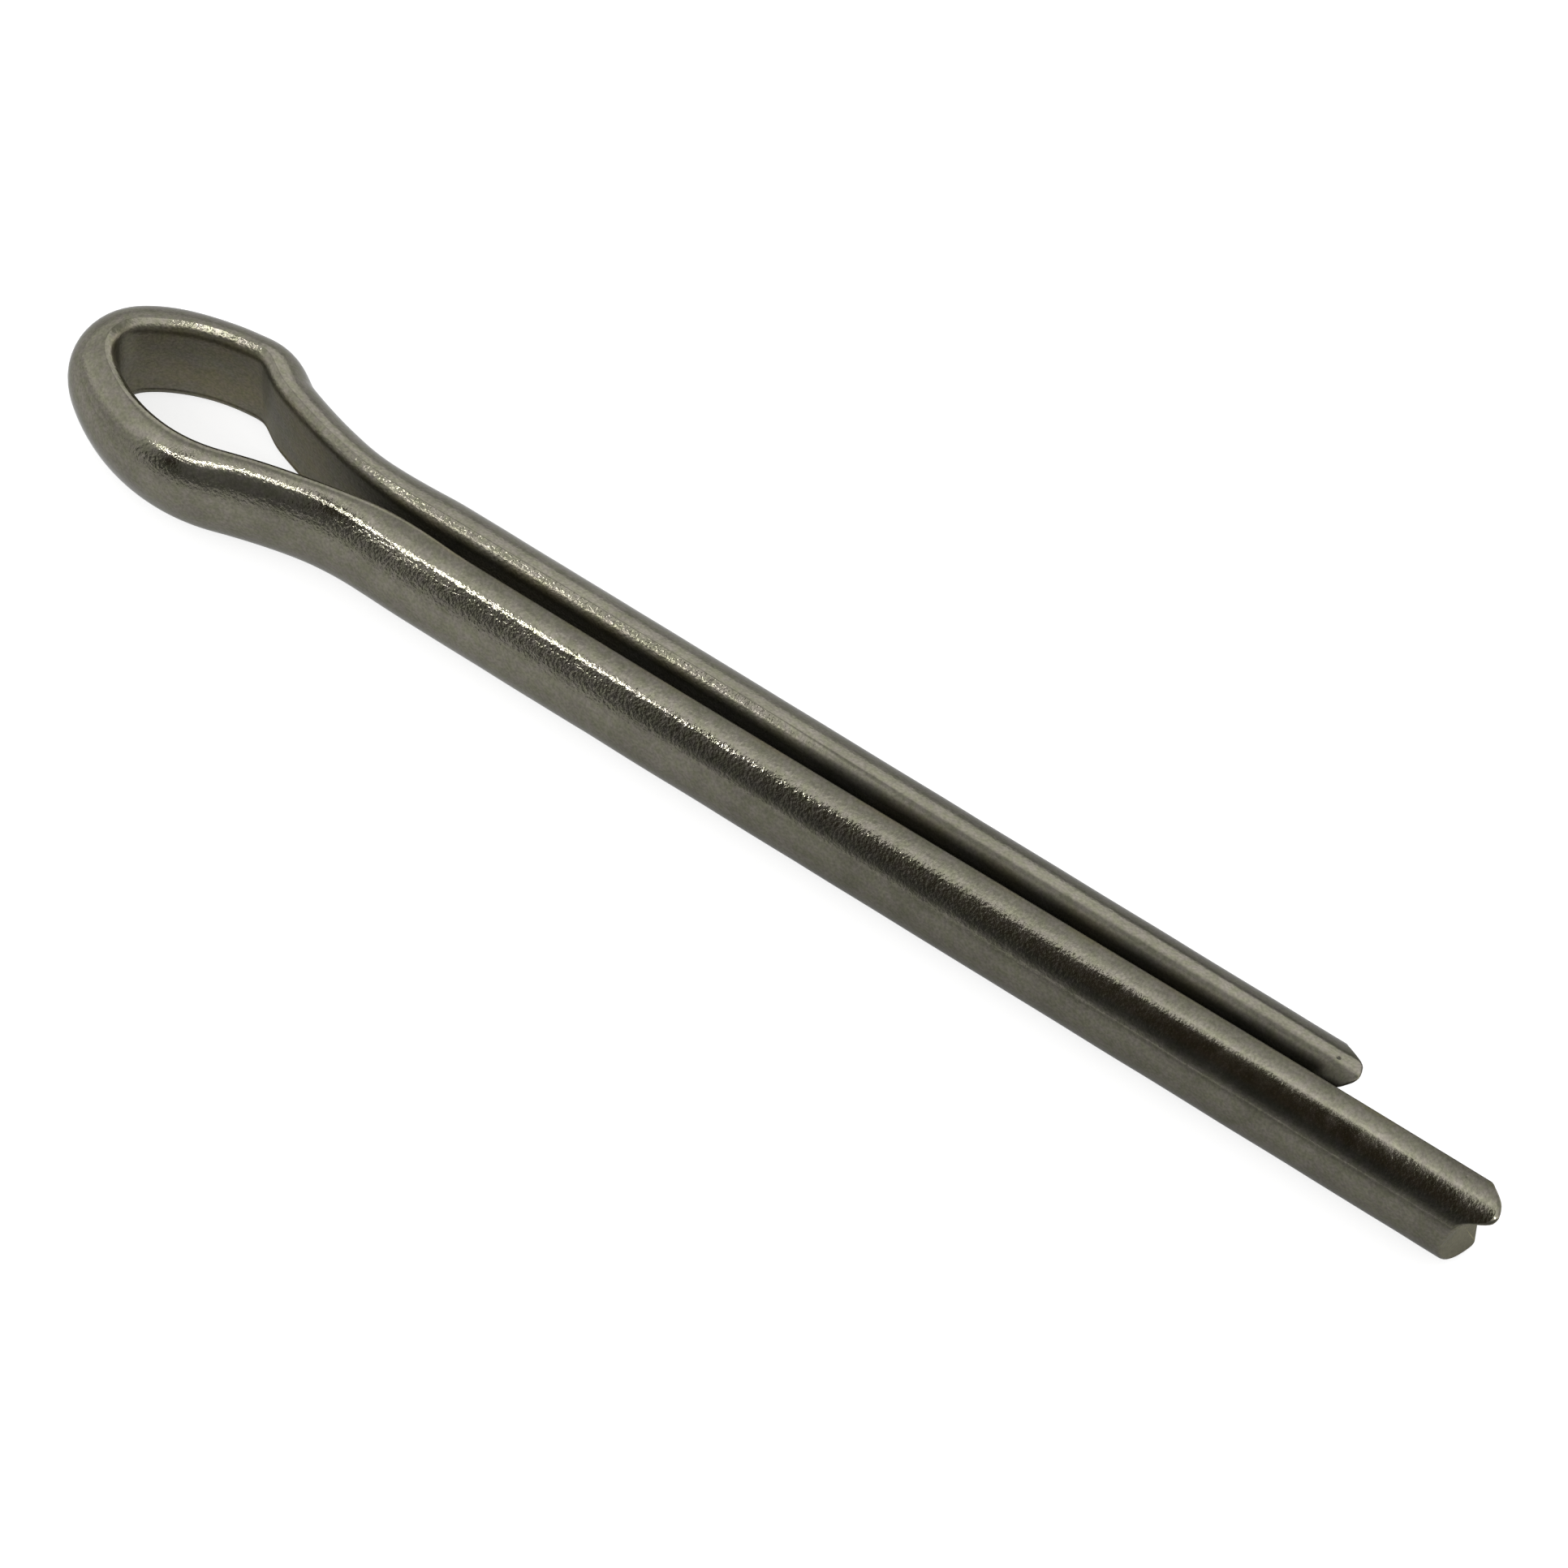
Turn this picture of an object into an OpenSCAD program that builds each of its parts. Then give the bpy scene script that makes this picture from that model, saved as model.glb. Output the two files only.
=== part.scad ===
// Extended-prong cotter pin, bent from one length of half-round steel wire.
// The flat side of the wire faces inwards all the way round, so that the two
// legs together make one round shank. +X runs along the shank to the tips,
// +Z is the axis of the eye, and the long leg lies on the -Y side. X = 0 is
// where both legs come out of the eye's neck and run straight.

/* [Shank] */
// Diameter of the shank over both closed legs
shank_d = 5.7; // [5.2:0.1:6.2]
// Gap between the flats of the two legs
leg_gap = 0.5; // [0.3:0.05:0.8]
// Radius rolled on both edges of the wire's flat side
edge_r = 0.4; // [0.2:0.05:0.55]

/* [Legs] */
// Straight length of the short leg, up to its cut face
short_leg = 47.8; // [25:0.1:52]
// Straight length of the long leg, up to its cut face
long_leg = 56.3; // [54:0.1:80]

/* [Eye bends] */
// Angle of the near neck, where the long leg swings out into the eye
near_neck_a = 21; // [18:1:24]
// Radius of the near flank, on the wire's flat side
near_flank_r = 7; // [6:0.1:8.5]
// Angle of the near flank
near_flank_a = 56; // [51:1:59]
// Radius of the closed end of the eye, the crown
crown_r = 1.2; // [0.9:0.05:1.6]
// Angle of the crown
crown_a = 107; // [103:1:111]
// Radius of the far flank
far_flank_r = 8.6; // [7.5:0.1:9.5]
// Angle of the far flank
far_flank_a = 32; // [29:1:35]
// Radius of the far shoulder, the tightest bend
shoulder_r = 1.1; // [0.7:0.05:1.6]
// Angle of the far shoulder
shoulder_a = 34; // [31:1:37]
// Radius of the back bend that follows the shoulder
back_bend_r = 8.7; // [6:0.1:12]
// Angle of that back bend
back_bend_a = 8; // [5:1:11]

/* [Cut ends] */
// Reach of the short leg's rounded nose past its cut face
short_nose = 0.8; // [0.4:0.05:1.2]
// Radius of that nose, seen from the side
short_nose_r = 2.1; // [1.8:0.05:2.7]
// Height of the middle of that nose
short_nose_z = -0.3; // [-0.8:0.1:0.6]
// Reach of the long leg's shear lip past its cut face
long_lip = 1.15; // [0.6:0.05:1.6]
// Radius of the lip's rounded nose, seen from the side
long_lip_r = 2.4; // [2:0.05:3]
// Height of the middle of the lip
long_lip_z = 0.8; // [0.2:0.1:1.2]
// Distance from the shank's axis to the slanted lower edge of the lip
lip_edge = 1.13; // [0.6:0.05:1.6]
// Clearance left between the burr on the short leg and the long leg
burr_gap = 0.1; // [0.05:0.05:0.2]
// Length of that burr across the leg
burr_len = 3.4; // [2:0.1:4]

/* [Hidden] */
$fa = 5;
$fs = 0.22;
steel = [0.62, 0.62, 0.58];

shank_r = shank_d / 2;
half_gap = leg_gap / 2;
burr_r = leg_gap - burr_gap;

// centre of the small radius on an edge of the flat, from the flat and from mid-height
edge_z = sqrt(pow(shank_r - edge_r, 2) - pow(half_gap + edge_r, 2));

// ---- bend table -------------------------------------------------------------
// Each bend is a radius on the flat side and an angle. A positive angle bends
// towards the inside of the eye, a negative one away from it. The bends start
// at the long leg's flat and end at the short leg's. The two neck radii are
// not in the table: they come from closing the loop, so that both legs start
// at X = 0 with the gap between them.
far_neck_a = near_flank_a + crown_a + far_flank_a + shoulder_a
    - near_neck_a - back_bend_a - 180;
turn_a = [-near_neck_a, near_flank_a, crown_a, far_flank_a, shoulder_a,
    -back_bend_a, -far_neck_a];
last = len(turn_a) - 1;

function side(i) = turn_a[i] > 0 ? 1 : -1;
// heading of the wire before bend i, as the wire is followed from the long leg
function heading(i) = i == 0 ? 180 : heading(i - 1) - turn_a[i - 1];
// unit vector from the flat to the centre of bend i, at heading h
function inward(i, h) = [cos(h - 90 * side(i)), sin(h - 90 * side(i))];
// what one millimetre of radius in bend i adds to the wire's travel
function gain(i) = inward(i, heading(i)) - inward(i, heading(i + 1));

function known_r(i) = i == 1 ? near_flank_r : i == 2 ? crown_r
    : i == 3 ? far_flank_r : i == 4 ? shoulder_r : i == 5 ? back_bend_r : 0;
function sum_known(i = 1) = i == last ? [0, 0] : known_r(i) * gain(i) + sum_known(i + 1);

// near_r * gain(0) + far_r * gain(last) must make up what the known bends leave
rest = [0, leg_gap] - sum_known();
g0 = gain(0);
g6 = gain(last);
det = g0.x * g6.y - g6.x * g0.y;
near_neck_r = (rest.x * g6.y - g6.x * rest.y) / det;
far_neck_r = (g0.x * rest.y - rest.x * g0.y) / det;

function radius(i) = i == 0 ? near_neck_r : i == last ? far_neck_r : known_r(i);
// where bend i starts on the flat, and the centre that it turns about
function start_at(i) = i == 0 ? [0, -half_gap] : start_at(i - 1) + radius(i - 1) * gain(i - 1);
function centre(i) = start_at(i) + radius(i) * inward(i, heading(i));

// A move in two steps, a round one and the small rest, which keeps its full value.
function whole(v) = [for (c = v) round(c * 1000) / 1000];
module place(v) {
    w = whole(v);
    translate(w) translate(v - w) children();
}

// ---- wire section -----------------------------------------------------------
// The half-round section with its flat at distance r from the origin. Its round
// side lies further out for s = 1 and further in for s = -1. The round side is
// struck from the shank's own axis, half the gap behind the flat.
module half_round(r, s) {
    mid = r - s * half_gap;
    out = (half_gap + edge_r) / (shank_r - edge_r);
    up = edge_z / (shank_r - edge_r);
    difference() {
        intersection() {
            place([mid, 0]) circle(r = shank_r);
            place([s > 0 ? r : r - shank_d, 0]) translate([0, -shank_d])
                square([shank_d, 2 * shank_d]);
        }
        for (k = [-1, 1]) // room for the rolled edge
            place([r + s * edge_r, 0]) polygon([[0, k * edge_z],
                [-s * 2 * edge_r, k * edge_z],
                [-s * 2 * edge_r, k * (edge_z + 3 * edge_r)],
                [s * 3 * edge_r * out, k * (edge_z + 3 * edge_r * up)]]);
    }
    for (k = [-1, 1]) place([r + s * edge_r, k * edge_z]) circle(r = edge_r);
}

// ---- eye --------------------------------------------------------------------
module bend(i) {
    s = side(i);
    from = s > 0 ? heading(i + 1) + 90 : heading(i) - 90;
    c = centre(i);
    place([c.x, c.y, 0]) rotate_extrude(start = from, angle = abs(turn_a[i]))
        half_round(radius(i), s);
}

module eye() {
    for (i = [0:last]) bend(i);
}

// ---- legs and their cut ends ------------------------------------------------
module leg(s, length) {
    rotate([90, 0, 90]) linear_extrude(length) half_round(s * half_gap, s);
}

// A nose that is round in side view, as a bar along Y.
module nose(face_x, reach, r, z) {
    translate([face_x + reach - r, 0, z]) rotate([90, 0, 0])
        cylinder(r = r, h = 2 * shank_d, center = true);
}

// All that lies past a cut face.
module past(face_x) {
    translate([face_x, -shank_d, -shank_d]) cube([shank_d, 2 * shank_d, 2 * shank_d]);
}

module short_leg_part() {
    difference() {
        leg(1, short_leg + short_nose);
        difference() {
            past(short_leg);
            nose(short_leg, short_nose, short_nose_r, short_nose_z);
        }
    }
    // burr that the shears pushed into the gap, against the long leg
    translate([short_leg, half_gap, short_nose_z - burr_len / 2])
        cylinder(r = burr_r, h = burr_len);
}

module long_leg_part() {
    difference() {
        leg(-1, long_leg + long_lip);
        difference() {
            past(long_leg);
            intersection() {
                nose(long_leg, long_lip, long_lip_r, long_lip_z);
                rotate([-45, 0, 0]) translate([long_leg - 1, -2 * shank_d, -lip_edge])
                    cube([shank_d, 4 * shank_d, 2 * shank_d]);
            }
        }
    }
}

module cotter_pin() {
    color(steel) union() {
        eye();
        short_leg_part();
        long_leg_part();
    }
}

cotter_pin();
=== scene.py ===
import math
import bpy
import numpy as np
from mathutils import Matrix, Vector


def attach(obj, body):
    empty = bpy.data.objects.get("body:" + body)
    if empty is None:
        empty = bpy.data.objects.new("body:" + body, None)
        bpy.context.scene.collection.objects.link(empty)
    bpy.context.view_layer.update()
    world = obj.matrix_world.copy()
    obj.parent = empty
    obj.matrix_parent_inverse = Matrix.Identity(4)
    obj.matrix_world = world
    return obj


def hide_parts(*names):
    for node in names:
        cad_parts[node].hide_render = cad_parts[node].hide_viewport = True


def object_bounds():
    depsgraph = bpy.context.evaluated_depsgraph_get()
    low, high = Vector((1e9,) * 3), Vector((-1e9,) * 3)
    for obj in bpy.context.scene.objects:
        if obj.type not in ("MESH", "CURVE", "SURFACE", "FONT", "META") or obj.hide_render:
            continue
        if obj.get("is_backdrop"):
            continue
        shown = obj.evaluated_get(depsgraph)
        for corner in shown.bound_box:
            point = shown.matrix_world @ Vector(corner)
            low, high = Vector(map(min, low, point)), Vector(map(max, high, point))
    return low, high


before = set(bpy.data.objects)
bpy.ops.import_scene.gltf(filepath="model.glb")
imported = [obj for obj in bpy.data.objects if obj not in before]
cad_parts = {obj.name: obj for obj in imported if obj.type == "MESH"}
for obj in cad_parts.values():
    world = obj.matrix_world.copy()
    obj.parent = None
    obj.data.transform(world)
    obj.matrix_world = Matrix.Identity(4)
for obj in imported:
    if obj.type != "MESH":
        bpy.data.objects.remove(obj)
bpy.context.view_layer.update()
mm = 0.001
print("cotter pin: frame loaded")

# The bent wire. Sizes are in millimetres and angles in degrees, as on a bending drawing.
wire = {
    "shankRadius": 2.85,        # over both closed legs
    "halfGap": 0.25,            # from the shank's axis to each flat
    "edgeOnLongLeg": 0.2,       # radius along both edges of the flat, sharpest on this leg
    "edgeOnEye": 0.58,
    "edgeOnShortLeg": 0.65,     # beside the eye
    "edgeByShortTip": 0.5,      # and by its tip
    "bevelAngle": 30,           # worn bevel on the edge of the eye's hole and of the short leg
    "bevelWidth": 0.3,
    "eyeThinning": 0.185,       # share of its thickness that the wire loses round the eye
    "swell": 0.028,             # share by which the wire swells in the tight bends
    "swellBend": 0.5,           # bend at which that is full, in radians a millimetre
    "swellRows": 15,            # rows over which it is evened out
    "shoulderOut": 0.07,        # share by which the crown's upper outside shoulder is upset
    "shoulderAngles": (14, 62, 110),    # where that starts, is full and ends, from straight up
    "bendBlend": 0.22,          # how softly one bend runs into the next
    "drawBack": 0.28,           # how far the long leg's flat lies back from the gap
    "gapCreep": 0.28,           # how far that flat closes on the gap again by its tip
    "farSetBack": 0.06,         # how far the short leg's flat lies back beside the eye
    "neckStart": 1.742,         # X where the long leg begins to swing out
    "waves": 14,                # slow waves left by drawing and bending
    "waveHeight": 0.002,        # height of the longest, and shorter ones are lower
    "waveFall": 0.7,            # power of the pitch by which they are
    "wavePitch": (1.2, 9.0),    # shortest and longest
    "waveTurns": 4,             # each winds round the wire fewer times than this
    # Each bend is its name, its radius on the flat and its angle. A minus radius bends away
    # from the hole, and a straight stretch has radius 0 and its length instead.
    "bends": [
        ("near neck", -33.0, 18.8),
        ("near flank", 7.33, 57.1),
        ("crown", 1.09, 103.5),
        ("far flank", 8.55, 30.3),
        ("straight before the shoulder", 0, 0.95),
        ("shoulder", 0.7, 40.0),
        ("straight after the shoulder", 0, 0.905),
        ("back bend", -3.2, 12.5),
        ("far neck", -28.1, 19.6),
    ],
}

# Where along X the wire's shape changes: where each change is nil, and where it is full.
# Near is the long leg's side, and far is the short leg's.
changes = {
    "legEdges": (-6, 2),            # from the radius of the eye's edges to the legs'
    "shortTipEdge": (18, 30),
    "nearBevel": (-12, -15),
    "farBevel": (30, 18),
    "eyeThinning": (1.242, -4.758),
    "besideEye": (-2, 4),           # both flats lie back from here on
    "gapCreep": (8, 56),
    "farSetBack": (24, 14),
    "nearShoulder": (-7.8, -10.8),
    "farShoulder": (-12.5, -15.5),
}

# A sheared tip is a cut face, which gains "lean" in X for each millimetre in Y, and a lip
# that the shears drew out along the top of its rim. The lip is given as its angle from
# straight up towards the wire's round side and its reach past the cut face, and it thins
# out over "lipDepth" from the rim inwards.
longTip = {
    "end": 57.45, "face": 56.62, "lean": 0.155, "stretchFrom": 53.5, "lipDepth": 1.3,
    "lip": [(0, 0.25), (6, 0.35), (12, 0.85), (18, 1.3), (28, 1.6), (35, 1.65), (42, 1.45),
            (46, 0.95), (52, 0.55), (60, 0.35), (73, 0.13), (88, 0)],
}
shortTip = {
    "end": 48.6, "face": 47.5, "lean": 0.16, "stretchFrom": 45.5, "lipDepth": 2.2,
    "lip": [(0, 1.8), (11, 2.0), (19, 1.9), (32, 1.56), (43, 0.78), (55, 0.1), (65, 0)],
}
tipRim = {"radius": 0.14, "rimRings": 6, "faceRings": 30, "lipBlend": 3}     # blend in degrees

# The burr that the shears turned over into the gap at the short leg's tip. Its middle is
# above the shank's axis.
burr = {"height": 0.3, "along": (47.4, 48.2), "middle": 1.2, "halfLength": 1.2, "fade": 0.8}

# What the wire's surface went through. A pair is where the wear is nil and where it is
# full, along X or, for "flat" and "behind", as the depth behind the flat.
rubbing = {
    "flat": (0.42, 0.07),       # how deep the flat's own finish goes round the edge
    # the long and short edges are duller, and shade is painted along them where they face the gap
    "longEdge": {"share": 0.75, "along": (1, 5), "behind": (0.378, 0.098)},
    "shortEdge": {"share": 1.0, "along": (16, 24), "behind": (0.561, 0.231)},
    "shortEdgeGrit": {"share": 0.4, "along": (22, 14), "behind": (0.75, 0.25)},
    # The band that the bending tools left gritty along the long leg's side of the eye. It
    # starts at "upper", in degrees from the wire's top or bottom towards its round side,
    # or "lowered" further down by the eye, and it is gone again by "lower".
    "band": {"fromCrown": (-15, -11), "ontoLeg": (18, 10), "upper": 35, "upperBlend": 8,
             "lowered": 7, "loweredAlong": (-2, -8), "lower": (75, 55)},
    # smoother towards the tips, where the die went last
    "smoothTips": {"share": 0.25, "along": (30, 44)},
}

# How finely the mesh is cut, as gaps between rows and as points round the section.
fineness = {
    "legRows": 0.27,
    "eyeRows": 0.14,
    "tipRows": 0.1,
    "tipLength": 4.0,           # length of leg that counts as the tip
    "flatPoints": 22,
    "roundPoints": 74,
    "rollPoints": 8,            # on the rolled edge, up to the bevel
    "bevelPoints": (0.85, 0.6, 0.35, 0.15, 0.05, 0),    # shares of the bevel still to go
    "pastBevel": (0.03, 0.004),     # from the bevel's crease to the next point
    "roundStart": 0.03,         # and from there to the round side's first, in radians
}


def softStep(x):
    x = np.clip(x, 0.0, 1.0)
    return x * x * (3 - 2 * x)


def comesIn(x, nilToFull):
    nil, full = nilToFull
    return softStep((x - nil) / (full - nil))


def turnFromTop(behind, height):
    # degrees from straight up, seen from the shank's axis
    return np.degrees(np.arctan2(behind + wire["halfGap"], height))


def flatPath(step=0.02):
    # middle of the wire's flat, from the long tip round the eye to the short tip
    tipX = longTip["end"]
    ends = [0.0, tipX - wire["neckStart"]]
    headings = [180.0, 180.0]
    for name, radius, amount in wire["bends"]:
        ends.append(ends[-1] + (abs(radius) * math.radians(amount) if radius else amount))
        headings.append(headings[-1] - (math.copysign(amount, radius) if radius else 0))
    eyeEnd = ends[-1]
    ends.append(eyeEnd + 2 * shortTip["face"])      # longer than the leg, and cut below
    headings.append(headings[-1])
    run = np.arange(0, ends[-1], step)
    heading = np.interp(run, ends, headings)
    half = int(3 * wire["bendBlend"] / step)
    bell = np.exp(-0.5 * (np.arange(-half, half + 1) * step / wire["bendBlend"]) ** 2)
    heading = np.convolve(np.pad(heading, half, mode="edge"), bell / bell.sum(), "valid")
    heading = np.radians(heading)
    ahead = np.stack([np.cos(heading), np.sin(heading)], 1)
    place = np.zeros_like(ahead)
    place[0] = tipX, -wire["halfGap"]
    place[1:] = place[0] + np.cumsum(0.5 * (ahead[1:] + ahead[:-1]) * step, axis=0)
    crown = int(np.argmin(place[:, 0]))
    # the short leg is brought exactly onto its side of the gap
    slip = wire["halfGap"] - place[-1, 1]
    place[:, 1] += slip * softStep((run - run[crown]) / (eyeEnd - run[crown]))
    last = int(np.argmax((run > run[crown]) & (place[:, 0] >= shortTip["end"]))) + 1
    bendRate = np.abs(np.gradient(heading, step))
    return run[:last], place[:last], heading[:last], bendRate[:last], crown


def pickRows(run, place):
    # rows stand closer round the eye and at both tips than along the legs
    spacing = np.full(len(run), fineness["legRows"])
    spacing[place[:, 0] < wire["neckStart"]] = fineness["eyeRows"]
    tip = fineness["tipLength"]
    spacing[(run - run[0] < tip) | (run[-1] - run < tip)] = fineness["tipRows"]
    ticks = np.cumsum((run[1] - run[0]) / spacing)
    wanted = np.arange(0, ticks[-1], 1.0)
    rows = np.unique(np.r_[0, np.searchsorted(ticks, wanted), len(run) - 1])
    return rows[rows < len(run)]


def halfRoundSection(edge, bevel=0):
    # (depth behind the flat, height), starting at the flat's lower edge
    radius, gap = wire["shankRadius"], wire["halfGap"]
    roll = fineness["rollPoints"]
    onBevel = np.array(fineness["bevelPoints"])[:, None]
    edgePoints = roll + len(onBevel) + 1
    # one edge from the flat to the round side, rolled all the way
    edgeHeight = math.sqrt((radius - edge) ** 2 - (gap + edge) ** 2)
    meet = math.atan2(edgeHeight, gap + edge)
    turns = math.pi - (math.pi - meet) * np.arange(edgePoints) / edgePoints
    rolled = np.stack([edge + edge * np.cos(turns), edgeHeight + edge * np.sin(turns)], 1)
    # and the same edge rolled as far as the bevel, with the bevel above
    slope = math.radians(wire["bevelAngle"])
    width = wire["bevelWidth"]
    ahead = np.array([math.cos(slope), math.sin(slope)])
    crease = np.array([gap + edge * (1 - math.sin(slope)) + width * math.cos(slope), 0])
    crease[1] = math.sqrt(radius ** 2 - crease[0] ** 2)
    crease[0] -= gap
    bottom = crease - width * ahead
    centre = bottom + edge * np.array([math.sin(slope), -math.cos(slope)])
    turns = math.pi - (math.pi / 2 - slope) * np.arange(roll) / (roll - 1)
    bevelled = np.concatenate([
        centre + edge * np.stack([np.cos(turns), np.sin(turns)], 1),
        crease - width * ahead * onBevel,
        [crease + fineness["pastBevel"]],
    ])
    corner = rolled + (bevelled - rolled) * bevel
    top = corner[0, 1]
    flatPoints = fineness["flatPoints"]
    flat = [(0.0, -top + 2 * top * k / flatPoints) for k in range(flatPoints)]
    first = math.atan2(corner[-1, 1], corner[-1, 0] + gap) - fineness["roundStart"]
    roundPoints = fineness["roundPoints"]
    turns = first - 2 * first * np.arange(roundPoints) / (roundPoints - 1)
    side = np.stack([-gap + radius * np.cos(turns), radius * np.sin(turns)], 1)
    return np.concatenate([flat, corner, side, corner[::-1] * (1, -1)])


def plainSections(x, onLong):
    # each row's section as drawn, with its own edge radius and share of bevel
    shortEdge = wire["edgeOnShortLeg"]
    byTip = wire["edgeByShortTip"]
    shortEdge = shortEdge + (byTip - shortEdge) * comesIn(x, changes["shortTipEdge"])
    edge = np.where(onLong, wire["edgeOnLongLeg"], shortEdge)
    edge = wire["edgeOnEye"] + (edge - wire["edgeOnEye"]) * comesIn(x, changes["legEdges"])
    bevel = np.where(onLong, comesIn(x, changes["nearBevel"]), comesIn(x, changes["farBevel"]))
    sections = np.array([halfRoundSection(e, b) for e, b in zip(edge, bevel)])
    return sections[..., 0], sections[..., 1]


def bentSections(x, onLong, bendRate, behind, height):
    # the same sections as the bends and the shears left them
    thick = wire["shankRadius"] - wire["halfGap"]
    inward = 1 - np.clip(behind / thick, 0, 1)      # 1 on the flat and 0 on the round side
    thin = wire["eyeThinning"] * comesIn(x, changes["eyeThinning"])
    depth = behind * (1 - thin[:, None])
    besideEye = comesIn(x, changes["besideEye"])
    near = wire["gapCreep"] * comesIn(x, changes["gapCreep"]) - wire["drawBack"] * besideEye
    far = -wire["farSetBack"] * comesIn(x, changes["farSetBack"]) * besideEye
    depth = depth - np.where(onLong, near, far)[:, None] * inward
    tight = softStep(bendRate / wire["swellBend"])
    bell = np.hanning(wire["swellRows"])
    tight = np.convolve(np.pad(tight, len(bell) // 2, mode="edge"), bell / bell.sum(), "valid")
    height = height * (1 + wire["swell"] * tight[:, None] * inward)

    # the upper shoulder is upset, so that the wire's top is flatter at the crown
    start, most, end = wire["shoulderAngles"]
    turn = turnFromTop(behind, height)
    shoulder = comesIn(turn, (start, most)) * (1 - comesIn(turn, (most, end)))
    atCrown = np.where(onLong, comesIn(x, changes["nearShoulder"]),
                       comesIn(x, changes["farShoulder"]))
    grow = wire["shoulderOut"] * shoulder * atCrown[:, None]
    depth = depth + (depth + wire["halfGap"]) * grow
    height = height * (1 + grow)

    atTip = comesIn(x, burr["along"]) * ~onLong
    offMiddle = np.abs(height - burr["middle"])
    across = 1 - softStep((offMiddle - burr["halfLength"]) / burr["fade"])
    depth = depth - burr["height"] * atTip[:, None] * across * inward ** 3
    return depth, height, inward


def slowWaves(run, count):
    # each wave runs along the wire and winds round it a few times or not at all
    rng = np.random.default_rng(7)
    around = np.arange(count) / count * 2 * math.pi
    shortest, longest = wire["wavePitch"]
    waves = np.zeros((len(run), count))
    for k in range(wire["waves"]):
        pitch = rng.uniform(shortest, longest)
        turns = rng.integers(0, wire["waveTurns"])
        start = rng.uniform(0, 2 * math.pi)
        wave = np.sin(run[:, None] * 2 * math.pi / pitch + turns * around[None, :] + start)
        waves += wave * (pitch / longest) ** wire["waveFall"]
    return wire["waveHeight"] * waves


def lipReach(tip, y, z):
    angle = np.degrees(np.arctan2(np.abs(y), z))
    places, reaches = zip(*tip["lip"])
    turns = (-tipRim["lipBlend"], 0, tipRim["lipBlend"])
    soft = sum(np.interp(angle + turn, places, reaches) for turn in turns) / len(turns)
    inside = wire["shankRadius"] - np.hypot(y, z)
    return soft * (1 - softStep(inside / tip["lipDepth"]))


def cutEnd(tip, y, z):
    # how far the wire reaches at each place of its section
    return tip["face"] + tip["lean"] * y + lipReach(tip, y, z)


def drawOutTip(wall, onThisLeg, tip):
    # the last stretch of a leg is drawn out to meet its own cut end
    start = tip["stretchFrom"]
    length = tip["end"] - start
    x, y, z = (wall[onThisLeg, :, axis] for axis in range(3))
    reach = cutEnd(tip, y, z) - tipRim["radius"] - start
    wall[onThisLeg, :, 0] = start + (x - start) * reach / length


def edgeWear(patch, leg, x, behind):
    along = patch["share"] * leg * comesIn(x, patch["along"])
    return along[:, None] * comesIn(behind, patch["behind"])


def wearAndShadeOnWire(x, onLong, behind, height):
    # dull, with painted shade, along both edges of the gap, and gritty where tools rubbed
    dull = edgeWear(rubbing["longEdge"], onLong, x, behind)
    dull += edgeWear(rubbing["shortEdge"], ~onLong, x, behind)
    band = rubbing["band"]
    grit = (onLong * comesIn(x, band["fromCrown"]) * comesIn(x, band["ontoLeg"]))[:, None]
    turn = turnFromTop(behind, np.abs(height))
    upper = band["upper"] + band["lowered"] * comesIn(x, band["loweredAlong"])[:, None]
    grit = grit * softStep((turn - upper) / band["upperBlend"]) * comesIn(turn, band["lower"])
    grit += edgeWear(rubbing["shortEdgeGrit"], ~onLong, x, behind)
    tips = rubbing["smoothTips"]
    grit -= tips["share"] * comesIn(x, tips["along"])[:, None]
    return np.stack([dull, grit, np.zeros_like(grit)], 2)


def sweepWire():
    run, place, heading, bendRate, crown = flatPath()
    rows = pickRows(run, place)
    onLong = run[rows] < run[crown]
    run, place, heading, bendRate = run[rows], place[rows], heading[rows], bendRate[rows]
    x = place[:, 0]
    behind, height = plainSections(x, onLong)
    depth, height, inward = bentSections(x, onLong, bendRate, behind, height)
    depth = depth + slowWaves(run, depth.shape[1]) * (1 - inward)

    out = np.stack([np.cos(heading + math.pi / 2), np.sin(heading + math.pi / 2)], 1)
    wall = np.zeros(depth.shape + (3,))
    wall[..., 0] = place[:, 0:1] + out[:, 0:1] * depth
    wall[..., 1] = place[:, 1:2] + out[:, 1:2] * depth
    wall[..., 2] = height
    drawOutTip(wall, onLong & (x > longTip["stretchFrom"]), longTip)
    drawOutTip(wall, ~onLong & (x > shortTip["stretchFrom"]), shortTip)

    # distance along the wire and around it, and 1 on the flat that faces the gap and the hole
    steps = np.linalg.norm(np.diff(halfRoundSection(wire["edgeOnEye"]), axis=0), axis=1)
    lies = np.zeros_like(wall)
    lies[..., 0] = run[:, None]
    lies[..., 1] = np.r_[0, np.cumsum(steps)][None, :]
    lies[..., 2] = comesIn(behind, rubbing["flat"])
    return wall, lies, wearAndShadeOnWire(x, onLong, behind, height)


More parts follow.
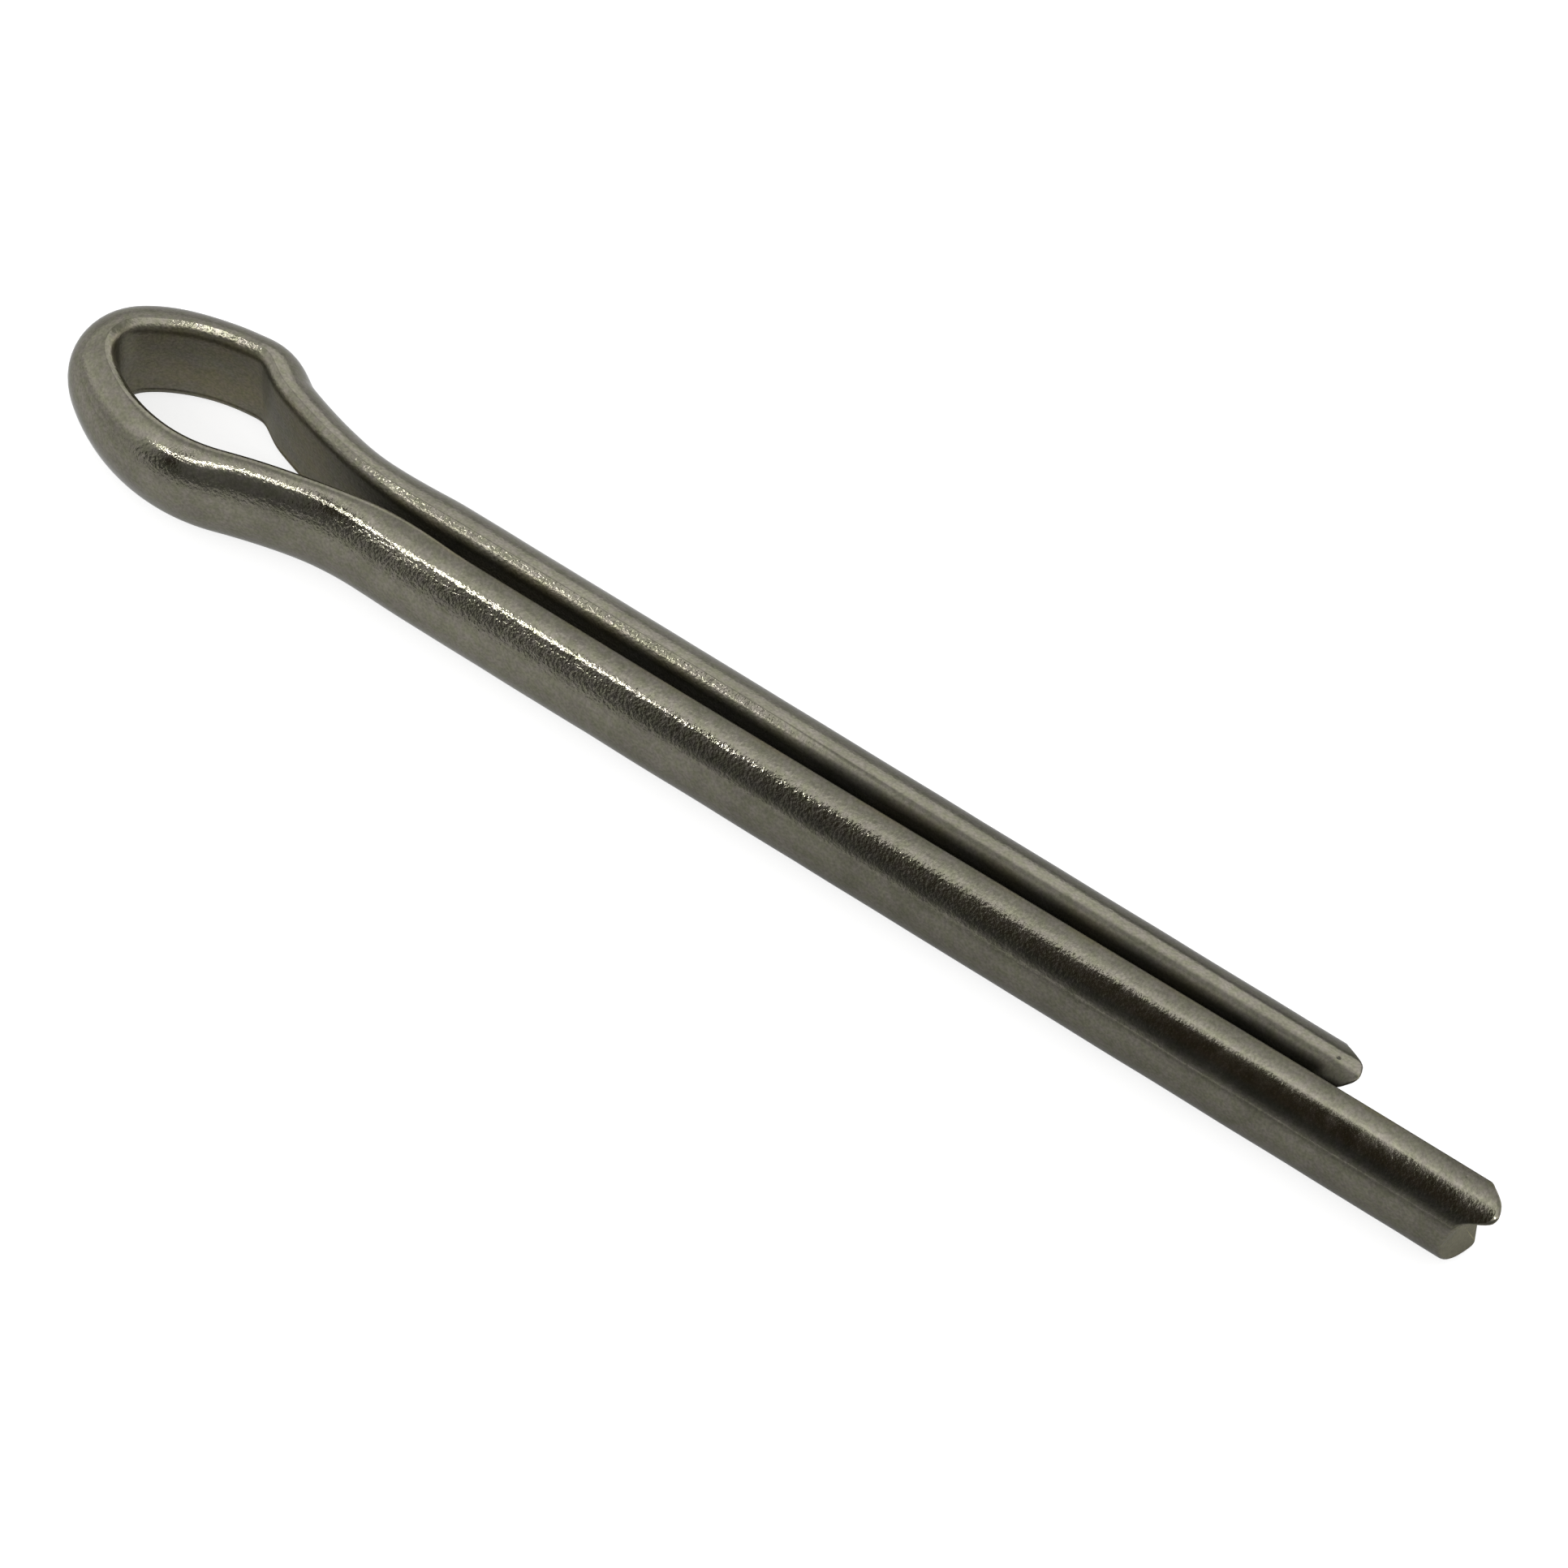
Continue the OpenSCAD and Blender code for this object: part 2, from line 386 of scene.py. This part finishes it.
def closeTip(ring, tip):
    # rings that roll over the rim and then close in on the middle of the cut end
    middle = np.array([ring[:, 1].mean(), ring[:, 2].mean()])
    toMiddle = middle - ring[:, 1:]
    far = np.linalg.norm(toMiddle, axis=1, keepdims=True)
    toMiddle = toMiddle / far
    rim = tipRim["radius"]
    layers = []
    for k in range(1, tipRim["rimRings"] + 1):
        turn = k * math.pi / 2 / tipRim["rimRings"]
        yz = ring[:, 1:] + toMiddle * rim * (1 - math.cos(turn))
        x = cutEnd(tip, yz[:, 0], yz[:, 1]) - rim * (1 - math.sin(turn))
        layers.append(np.column_stack([x, yz]))
    for k in range(1, tipRim["faceRings"]):
        share = k / tipRim["faceRings"]
        yz = ring[:, 1:] + toMiddle * (rim + (far - rim) * share)
        layers.append(np.column_stack([cutEnd(tip, yz[:, 0], yz[:, 1]), yz]))
    centre = np.array([[cutEnd(tip, middle[0], middle[1]), middle[0], middle[1]]])
    return layers, centre


def ringFaces(first, second, count):
    return [(first + j, first + (j + 1) % count, second + (j + 1) % count, second + j)
            for j in range(count)]


def buildPin():
    wall, lies, wornAndShaded = sweepWire()
    rows, count = wall.shape[:2]
    points = [wall.reshape(-1, 3)]
    places = [lies.reshape(-1, 3)]
    wears = [wornAndShaded.reshape(-1, 3)]
    faces = []
    for i in range(rows - 1):
        faces += ringFaces((i + 1) * count, i * count, count)
    total = rows * count
    for row, tip, flip in ((0, longTip, False), (rows - 1, shortTip, True)):
        layers, centre = closeTip(wall[row], tip)
        previous = row * count
        for k, layer in enumerate(layers):
            points.append(layer)
            fade = max(0.0, 1 - k / tipRim["rimRings"])
            places.append(lies[row] * (1, 1, fade))
            wears.append(wornAndShaded[row] * fade + (0, 0, 1 - fade))   # the last of three is the cut
            quads = ringFaces(previous, total, count)
            faces += [q[::-1] for q in quads] if flip else quads
            previous = total
            total += count
        points.append(centre)
        places.append(lies[row, :1] * (1, 1, 0))
        wears.append(np.array([[0, 0, 1.0]]))
        fan = [(previous + j, previous + (j + 1) % count, total) for j in range(count)]
        faces += [f[::-1] for f in fan] if flip else fan
        total += 1
    mesh = bpy.data.meshes.new("cotterPin")
    mesh.from_pydata((np.concatenate(points) * mm).tolist(), [], faces)
    mesh.polygons.foreach_set("use_smooth", [True] * len(mesh.polygons))
    for name, values in (("onWire", places), ("wearAndShade", wears)):
        attribute = mesh.attributes.new(name, "FLOAT_VECTOR", "POINT")
        attribute.data.foreach_set("vector", np.concatenate(values).ravel())
    mesh.update()
    pin = bpy.data.objects.new("cotterPin", mesh)
    bpy.context.scene.collection.objects.link(pin)
    return pin


# Colours are linear, and sizes and depths are in millimetres. The grain is what drawing,
# shearing and plating leave on the steel.
plate = {
    "dull": (0.182, 0.175, 0.135),
    "bright": (0.232, 0.223, 0.174),
    "brown": (0.245, 0.218, 0.132),   # thin stain, only on the flat
    "stainMost": 0.6,
    "olive": (0.98, 1.0, 0.93),       # patches lean to olive and to plain grey
    "plainGrey": (1.04, 1.0, 1.08),
    "speck": 0.16,                    # how much lighter and darker the finest specks are
    "edgeTint": (0.72, 0.72, 0.72),   # how much of its gloss it keeps seen edge-on
    "roughness": (0.05, 0.10),
    "flatRoughness": 0.46,            # the flat was never burnished by the die
    "gapEdgeShade": 0.55,            # painted shade on the dull edges of the gap
    "dullRoughening": 0.22,
    "cutFace": (1.25, 1.22, 1.03),    # the sheared faces are paler and more olive
    "cutRoughening": 0.25,
    "grainDepth": 0.006,
    "gritDepth": 0.034,               # of the grain where tools rubbed
    "smoothShare": 0.45,              # share of the grain that is left by the tips
    "drawLines": 0.0008,              # depth of the lines that drawing left along the wire
    "drawLineScale": (0.35, 9.0, 0.0),    # lines to a millimetre, along and around the wire
    # small marks as x, y, z, radius and depth, which stay as they are on the pin
    "marks": [
        (-6.6, -4.1, -0.3, 0.22, 0.05),
        (55.9, -0.7, 2.7, 0.10, 0.04),
        (48.3, 1.0, 2.65, 0.14, 0.05),
    ],
    "dentShade": 0.4,                  # painted shade in a mark's dent: the share of the light that its middle sends back
}

# Each cloud is its size, its detail, its roughness and the part of its range in use.
clouds = {
    "mottle": (1.8, 5.0, 0.62, 0.32, 0.68),
    "stain": (3.1, 3.0, 0.6, 0.42, 0.62),
    "patches": (0.45, 2.0, 0.5, 0.35, 0.65),
    "specks": (0.14, 1.0, 0.5, 0.3, 0.7),
    "gloss": (0.9, 4.0, 0.6, 0.3, 0.7),
    "grain": (0.15, 2.0, 0.5, 0.0, 1.0),
}

mixSides = (6, 7)     # a Mix node's two colour inputs
mixed = 2             # and its colour output


def nodeKit(tree):
    # short ways to make and join the nodes of one material or world
    def add(kind, **settings):
        node = tree.nodes.new(kind)
        for name, value in settings.items():
            if name in node.inputs:
                node.inputs[name].default_value = value
            else:
                setattr(node, name, value)
        return node

    def link(start, output, end, socket):
        tree.links.new(start.outputs[output], end.inputs[socket])

    def stretch(source, output, low, high, toLow, toHigh):
        # carries a value from one range to another
        node = add("ShaderNodeMapRange")
        ranges = {"From Min": low, "From Max": high, "To Min": toLow, "To Max": toHigh}
        for name, value in ranges.items():
            node.inputs[name].default_value = value
        link(source, output, node, "Value")
        return node

    def blend(share, shareOutput, first, second):
        # first and second are each a node and its output, or a plain colour
        mix = add("ShaderNodeMix", data_type="RGBA")
        link(share, shareOutput, mix, "Factor")
        for socket, side in zip(mixSides, (first, second)):
            if isinstance(side[0], float):
                mix.inputs[socket].default_value = tuple(side) + (1,)
            else:
                link(side[0], side[1], mix, socket)
        return mix

    def sums(operation, first, second):
        # first and second are each a node and its output, or a plain number
        node = add("ShaderNodeMath", operation=operation)
        for socket, side in enumerate((first, second)):
            if isinstance(side, tuple):
                link(side[0], side[1], node, socket)
            else:
                node.inputs[socket].default_value = side
        return node
    return add, link, stretch, blend, sums


def platedSteel():
    material = bpy.data.materials.new("platedSteel")
    material.use_nodes = True
    tree = material.node_tree
    tree.nodes.clear()
    add, link, stretch, blend, sums = nodeKit(tree)
    output = add("ShaderNodeOutputMaterial")
    metal = add("ShaderNodeBsdfPrincipled", Metallic=1.0)
    metal.inputs["Specular Tint"].default_value = plate["edgeTint"] + (1,)
    link(metal, "BSDF", output, "Surface")
    where = add("ShaderNodeTexCoord")
    onWire = add("ShaderNodeAttribute", attribute_name="onWire")
    lies = add("ShaderNodeSeparateXYZ")       # Z is 1 on the flat
    link(onWire, "Vector", lies, "Vector")
    wearAndShade = add("ShaderNodeAttribute", attribute_name="wearAndShade")
    wornAndShaded = add("ShaderNodeSeparateXYZ")       # X is the dull edges with painted shade, Y is grit and Z is the cut face
    link(wearAndShade, "Vector", wornAndShaded, "Vector")

    def noise(name):
        size, detail, roughness = clouds[name][:3]
        node = add("ShaderNodeTexNoise", Scale=1 / (size * mm), Detail=detail, Roughness=roughness)
        link(where, "Object", node, "Vector")
        return node

    def cloud(name, least, most):
        low, high = clouds[name][3:]
        return stretch(noise(name), "Fac", low, high, least, most)

    away = []
    for x, y, z, radius, depth in plate["marks"]:
        node = add("ShaderNodeVectorMath", operation="DISTANCE")
        node.inputs[1].default_value = (x * mm, y * mm, z * mm)
        link(where, "Object", node, 0)
        away.append((node, radius * mm, depth))

    # clouds of brighter and duller plate, with brown stain on the flat
    base = blend(cloud("mottle", 0.0, 1.0), "Result", plate["dull"], plate["bright"])
    stain = cloud("stain", 0.0, plate["stainMost"])
    onFlat = sums("MULTIPLY", (stain, "Result"), (lies, "Z"))
    stained = blend(onFlat, "Value", (base, mixed), plate["brown"])
    hue = blend(cloud("patches", 0.0, 1.0), "Result", plate["olive"], plate["plainGrey"])
    hue = blend(wornAndShaded, "Z", (hue, mixed), plate["cutFace"])
    specks = cloud("specks", 1 - plate["speck"], 1 + plate["speck"])
    # painted shade, darker along both edges of the gap between the legs
    edgeShade = stretch(wornAndShaded, "X", 0.0, 1.0, 1.0, 1 - plate["gapEdgeShade"])
    light = sums("MULTIPLY", (specks, "Result"), (edgeShade, "Result"))
    # painted shade in the middle of each mark's dent
    for distance, radius, depth in away:
        dentShading = stretch(distance, "Value", 0.0, radius, plate["dentShade"], 1.0)
        light = sums("MULTIPLY", (light, "Value"), (dentShading, "Result"))
    tinted = add("ShaderNodeVectorMath", operation="MULTIPLY")
    link(stained, mixed, tinted, 0)
    link(hue, mixed, tinted, 1)
    flecked = add("ShaderNodeVectorMath", operation="SCALE")
    link(tinted, "Vector", flecked, 0)
    link(light, "Value", flecked, "Scale")
    link(flecked, "Vector", metal, "Base Color")

    # gloss that varies in patches and falls away on the flat, the dull edges and the cuts
    glossiest, dullest = plate["roughness"]
    gloss = cloud("gloss", glossiest, dullest)
    rough = stretch(lies, "Z", 0.0, 1.0, 0.0, plate["flatRoughness"] - dullest)
    plain = sums("ADD", (gloss, "Result"), (rough, "Result"))
    finish = sums("MULTIPLY_ADD", (wornAndShaded, "X"), plate["dullRoughening"])
    link(plain, "Value", finish, 2)
    sheared = sums("MULTIPLY_ADD", (wornAndShaded, "Z"), plate["cutRoughening"])
    link(finish, "Value", sheared, 2)
    link(sheared, "Value", metal, "Roughness")

    # grain, lines along the wire, and the marks
    grain = noise("grain")
    smoothest = -rubbing["smoothTips"]["share"]
    roughest = plate["gritDepth"] / plate["grainDepth"]
    grit = stretch(wornAndShaded, "Y", smoothest, 1.0, plate["smoothShare"], roughest)
    rubbed = sums("MULTIPLY", (grain, "Fac"), (grit, "Result"))
    lengthwise = add("ShaderNodeVectorMath", operation="MULTIPLY")
    lengthwise.inputs[1].default_value = plate["drawLineScale"]
    link(onWire, "Vector", lengthwise, 0)
    drawn = add("ShaderNodeTexNoise", Scale=1.0, Detail=3.0)
    link(lengthwise, "Vector", drawn, "Vector")
    height = sums("MULTIPLY_ADD", (drawn, "Fac"), plate["drawLines"] / plate["grainDepth"])
    link(rubbed, "Value", height, 2)
    for distance, radius, depth in away:
        dent = stretch(distance, "Value", 0.0, radius, -depth / plate["grainDepth"], 0.0)
        dent.interpolation_type = "SMOOTHSTEP"
        height = sums("ADD", (height, "Value"), (dent, "Result"))
    bump = add("ShaderNodeBump", Strength=1.0, Distance=plate["grainDepth"] * mm)
    link(height, "Value", bump, "Height")
    link(bump, "Normal", metal, "Normal")
    return material


pin = buildPin()
pin.data.materials.append(platedSteel())
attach(pin, "root")
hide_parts("cotter_pin")
print("cotter pin: wire swept,", len(pin.data.polygons), "faces")

# The studio. A brightness of 1 is white. Angles are degrees from straight up towards -Y,
# where the viewer stands, so minus angles are behind the pin.
studio = {
    "floorColour": (0.52, 0.52, 0.52),
    "floorSide": 1.5,                 # half its width, in metres
    "floorLift": 0.75,                # what it gives off towards the viewer
    "darkTint": (1.3, 0.97, 0.66),    # the dark room is brownish
    "darkBelow": 0.05,                # brightness under which it is
    # the floor as the metal shows it, by the tips and by the eye
    "tipsAndEye": (24, 4),            # their X in millimetres
    "floorInMetal": (0.12, 0.34),
    "fadeOver": (0.008, 0.04),        # metres from the pin over which that floor grows darker
    "fade": (0.45, 0.225),            # how much darker, by the tips and by the eye
    # A broad box lamp overhead whose edge runs aslant, and a dark room beyond its edge,
    # as angle and brightness: over the tips, over the eye and over the crown.
    "overTip": [
        (-180, 0.5), (-100, 0.8), (-88, 1.2), (-72, 1.4), (-58, 1.15), (-45, 0.9), (-30, 0.66),
        (-8, 0.74), (1, 0.9), (9, 1.25), (14, 1.55), (17, 1.85), (20.2, 1.9),
        (22.5, 0.045), (52, 0.04), (66, 0.055), (76, 0.09), (81, 0.16), (86, 0.24), (91, 0.32),
        (180, 0.5),
    ],
    "overEye": [
        (-180, 0.6), (-100, 0.8), (-88, 1.15), (-72, 1.4), (-58, 1.4), (-45, 1.2), (-33, 0.55),
        (-26, 0.62), (-20, 0.68), (-13, 0.76), (-5, 0.92), (4, 1.35), (12, 1.5), (18.5, 1.5),
        (22.5, 0.4), (34, 0.27), (60, 0.2), (72, 0.2), (77, 0.26), (82, 0.37), (87, 0.5),
        (92, 0.58), (180, 0.6),
    ],
    "overCrown": [
        (-180, 0.6), (-100, 0.9), (-85, 0.75), (-70, 1.05), (-40, 0.95), (-10, 0.85), (20, 1.0),
        (45, 1.15), (58, 0.75), (72, 0.62), (88, 0.85), (100, 0.9), (180, 0.6),
    ],
    # How far the lamp's edge turns towards the viewer, in degrees, and how much of
    # "overEye" is seen, both by the sideways part of the direction.
    "edgeTurn": [
        (-1.0, 20), (-0.34, 18), (-0.31, 14.8), (-0.283, 12), (-0.253, 8.8), (-0.238, 2.6),
        (-0.221, 0.8), (-0.17, 22), (-0.1, 20), (1.0, 18),
    ],
    "eyeShare": [
        (-1.0, 1), (-0.37, 1), (-0.31, 0.65), (-0.277, 0.33), (-0.253, 0.06), (-0.215, 0),
        (-0.18, 0.8), (-0.08, 1.0), (1.0, 1),
    ],
    "mostTurn": 40,
    "turnStarts": (-40, 0),           # angles over which that turn comes in
    "turnEnds": (90, 45),             # and over which it goes out again
    "crownShare": (-0.3, -0.56),      # sideways parts over which "overCrown" takes over
}


def studioWorld():
    world = bpy.data.worlds.new("softStudio")
    bpy.context.scene.world = world
    world.use_nodes = True
    tree = world.node_tree
    tree.nodes.clear()
    add, link, stretch, blend, sums = nodeKit(tree)
    output = add("ShaderNodeOutputWorld")
    where = add("ShaderNodeTexCoord")
    split = add("ShaderNodeSeparateXYZ")
    link(where, "Generated", split, "Vector")

    def ramp(source, output, name, low, high, top):
        # a brightness or a turn by place, as a share of the top one
        node = add("ShaderNodeValToRGB")
        elements = node.color_ramp.elements
        elements.remove(elements[1])
        elements[0].position = 0.0
        for place, level in studio[name]:
            at = (place - low) / (high - low)
            element = elements[0] if at == 0 else elements.new(at)
            tint = studio["darkTint"] if 0 < level < studio["darkBelow"] else (1, 1, 1)
            element.color = tuple(level / top * part for part in tint) + (1,)
        link(stretch(source, output, low, high, 0.0, 1.0), "Result", node, "Fac")
        return node

    back = sums("MULTIPLY", (split, "Y"), -1.0)
    angle = sums("ARCTAN2", (back, "Value"), (split, "Z"))
    degrees = sums("MULTIPLY", (angle, "Value"), 180 / math.pi)
    turn = ramp(split, "X", "edgeTurn", -1, 1, studio["mostTurn"])
    lean = sums("MULTIPLY", (turn, "Color"), -float(studio["mostTurn"]))
    for limits in (studio["turnStarts"], studio["turnEnds"]):
        share = stretch(degrees, "Value", *limits, 0.0, 1.0)
        lean = sums("MULTIPLY", (lean, "Value"), (share, "Result"))
    turned = sums("ADD", (degrees, "Value"), (lean, "Value"))

    tip, eye = (ramp(turned, "Value", name, -180, 180, 1) for name in ("overTip", "overEye"))
    crown = ramp(degrees, "Value", "overCrown", -180, 180, 1)
    share = ramp(split, "X", "eyeShare", -1, 1, 1)
    legs = blend(share, "Color", (tip, "Color"), (eye, "Color"))
    toCrown = stretch(split, "X", *studio["crownShare"], 0.0, 1.0)
    allRound = blend(toCrown, "Result", (legs, mixed), (crown, "Color"))
    # the metal shows this room, and the viewer sees plain white behind the pin
    room = add("ShaderNodeBackground", Strength=1.0)
    link(allRound, mixed, room, "Color")
    plain = add("ShaderNodeBackground", Color=(1, 1, 1, 1), Strength=1.0)
    ray = add("ShaderNodeLightPath")
    seen = add("ShaderNodeMixShader")
    link(ray, "Is Camera Ray", seen, "Fac")
    link(room, "Background", seen, 1)
    link(plain, "Background", seen, 2)
    link(seen, "Shader", output, "Surface")


def paleFloor(height):
    side = studio["floorSide"]
    corners = [(-side, -side, 0), (side, -side, 0), (side, side, 0), (-side, side, 0)]
    mesh = bpy.data.meshes.new("floor")
    mesh.from_pydata(corners, [], [(0, 1, 2, 3)])
    floor = bpy.data.objects.new("floor", mesh)
    floor.location.z = height
    bpy.context.scene.collection.objects.link(floor)
    material = bpy.data.materials.new("paleFloor")
    material.use_nodes = True
    tree = material.node_tree
    tree.nodes.clear()
    add, link, stretch, blend, sums = nodeKit(tree)
    output = add("ShaderNodeOutputMaterial")
    matt = add("ShaderNodeBsdfDiffuse", Color=studio["floorColour"] + (1,))
    lift = add("ShaderNodeEmission", Color=(1, 1, 1, 1))
    ray = add("ShaderNodeLightPath")
    where = add("ShaderNodeTexCoord")
    split = add("ShaderNodeSeparateXYZ")
    link(where, "Object", split, "Vector")
    atTips, atEye = (place * mm for place in studio["tipsAndEye"])
    inMetal = stretch(split, "X", atTips, atEye, *studio["floorInMetal"])
    seen = sums("MULTIPLY", (ray, "Is Glossy Ray"), (inMetal, "Result"))
    level = sums("MULTIPLY_ADD", (ray, "Is Camera Ray"), studio["floorLift"])
    link(seen, "Value", level, 2)
    link(level, "Value", lift, "Strength")
    both = add("ShaderNodeAddShader")
    link(matt, "BSDF", both, 0)
    link(lift, "Emission", both, 1)
    # in the metal the floor grows darker away from the pin, more so by the tips
    away = sums("ABSOLUTE", (split, "Y"), 0.0)
    far = stretch(away, "Value", *studio["fadeOver"], 0.0, 1.0)
    fade = stretch(split, "X", atTips, atEye, *studio["fade"])
    faded = sums("MULTIPLY", (far, "Result"), (fade, "Result"))
    faded = sums("MULTIPLY", (faded, "Value"), (ray, "Is Glossy Ray"))
    black = add("ShaderNodeBsdfDiffuse", Color=(0, 0, 0, 1))
    whole = add("ShaderNodeMixShader")
    link(faded, "Value", whole, "Fac")
    link(both, "Shader", whole, 1)
    link(black, "BSDF", whole, 2)
    link(whole, "Shader", output, "Surface")
    mesh.materials.append(material)
    floor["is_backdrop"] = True


# Narrow strip lamps, as place, aim, length, width and brightness. Lengths are in metres.
strips = {
    "stripOverLegs": ((-0.184, -0.31, 0.39), (0.01, 0, 0), 0.040, 0.010, 30.0),
    "stripOverEye": ((-0.045, -0.73, 1.005), (-0.008, 0, 0), 0.17, 0.024, 32.0),
    "stripOverBend": ((-0.0294, -0.0627, 0.0775), (-0.0105, -0.0035, 0.0023),
                      0.0253, 0.0021, 18.0),
}


def stripLamp(name, place, aim, length, width, brightness):
    light = bpy.data.lights.new(name, "AREA")
    light.shape = "RECTANGLE"
    light.size = length
    light.size_y = width
    light.energy = brightness * math.pi * length * width
    holder = bpy.data.objects.new(name, light)
    place = Vector(place)
    away = (place - Vector(aim)).normalized()
    along = Vector((1, 0, 0))       # the strip's length runs along the shank
    along = (along - away * along.dot(away)).normalized()
    turn = Matrix((along, away.cross(along), away)).transposed().to_4x4()
    holder.matrix_world = Matrix.Translation(place) @ turn
    bpy.context.scene.collection.objects.link(holder)


# The view, in degrees and millimetres.
view = {
    "rise": 61.5,               # above the pin's side
    "swing": 17.506,            # towards the tips
    "roll": 31.536,             # of the frame
    "aim": (20.428, -0.293, 0),
    "distance": 382.98,
    "lens": 202.41,
    "sensorWidth": 36.0,
    "nearest": 10.0,            # nothing closer than this is seen
}


def camera():
    rise, swing, roll = (math.radians(view[name]) for name in ("rise", "swing", "roll"))
    aim = Vector(view["aim"]) * mm
    cosRise, sinRise = math.cos(rise), math.sin(rise)
    cosSwing, sinSwing = math.cos(swing), math.sin(swing)
    away = Vector((sinSwing, -cosSwing * cosRise, cosSwing * sinRise))
    right = Vector((cosSwing, sinSwing * cosRise, -sinSwing * sinRise))
    down = Vector((0, -sinRise, -cosRise))
    across = right * math.cos(roll) - down * math.sin(roll)
    upward = -(right * math.sin(roll) + down * math.cos(roll))
    data = bpy.data.cameras.new("camera")
    data.sensor_width = view["sensorWidth"]
    data.lens = view["lens"]
    data.clip_start = view["nearest"] * mm
    holder = bpy.data.objects.new("camera", data)
    turn = Matrix((across, upward, away)).transposed().to_4x4()
    holder.matrix_world = Matrix.Translation(aim + away * view["distance"] * mm) @ turn
    bpy.context.scene.collection.objects.link(holder)
    bpy.context.scene.camera = holder


camera()
studioWorld()
paleFloor(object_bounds()[0].z)
for name, settings in strips.items():
    stripLamp(name, *settings)
bpy.context.scene.view_settings.view_transform = "Standard"
print("cotter pin: studio lit")
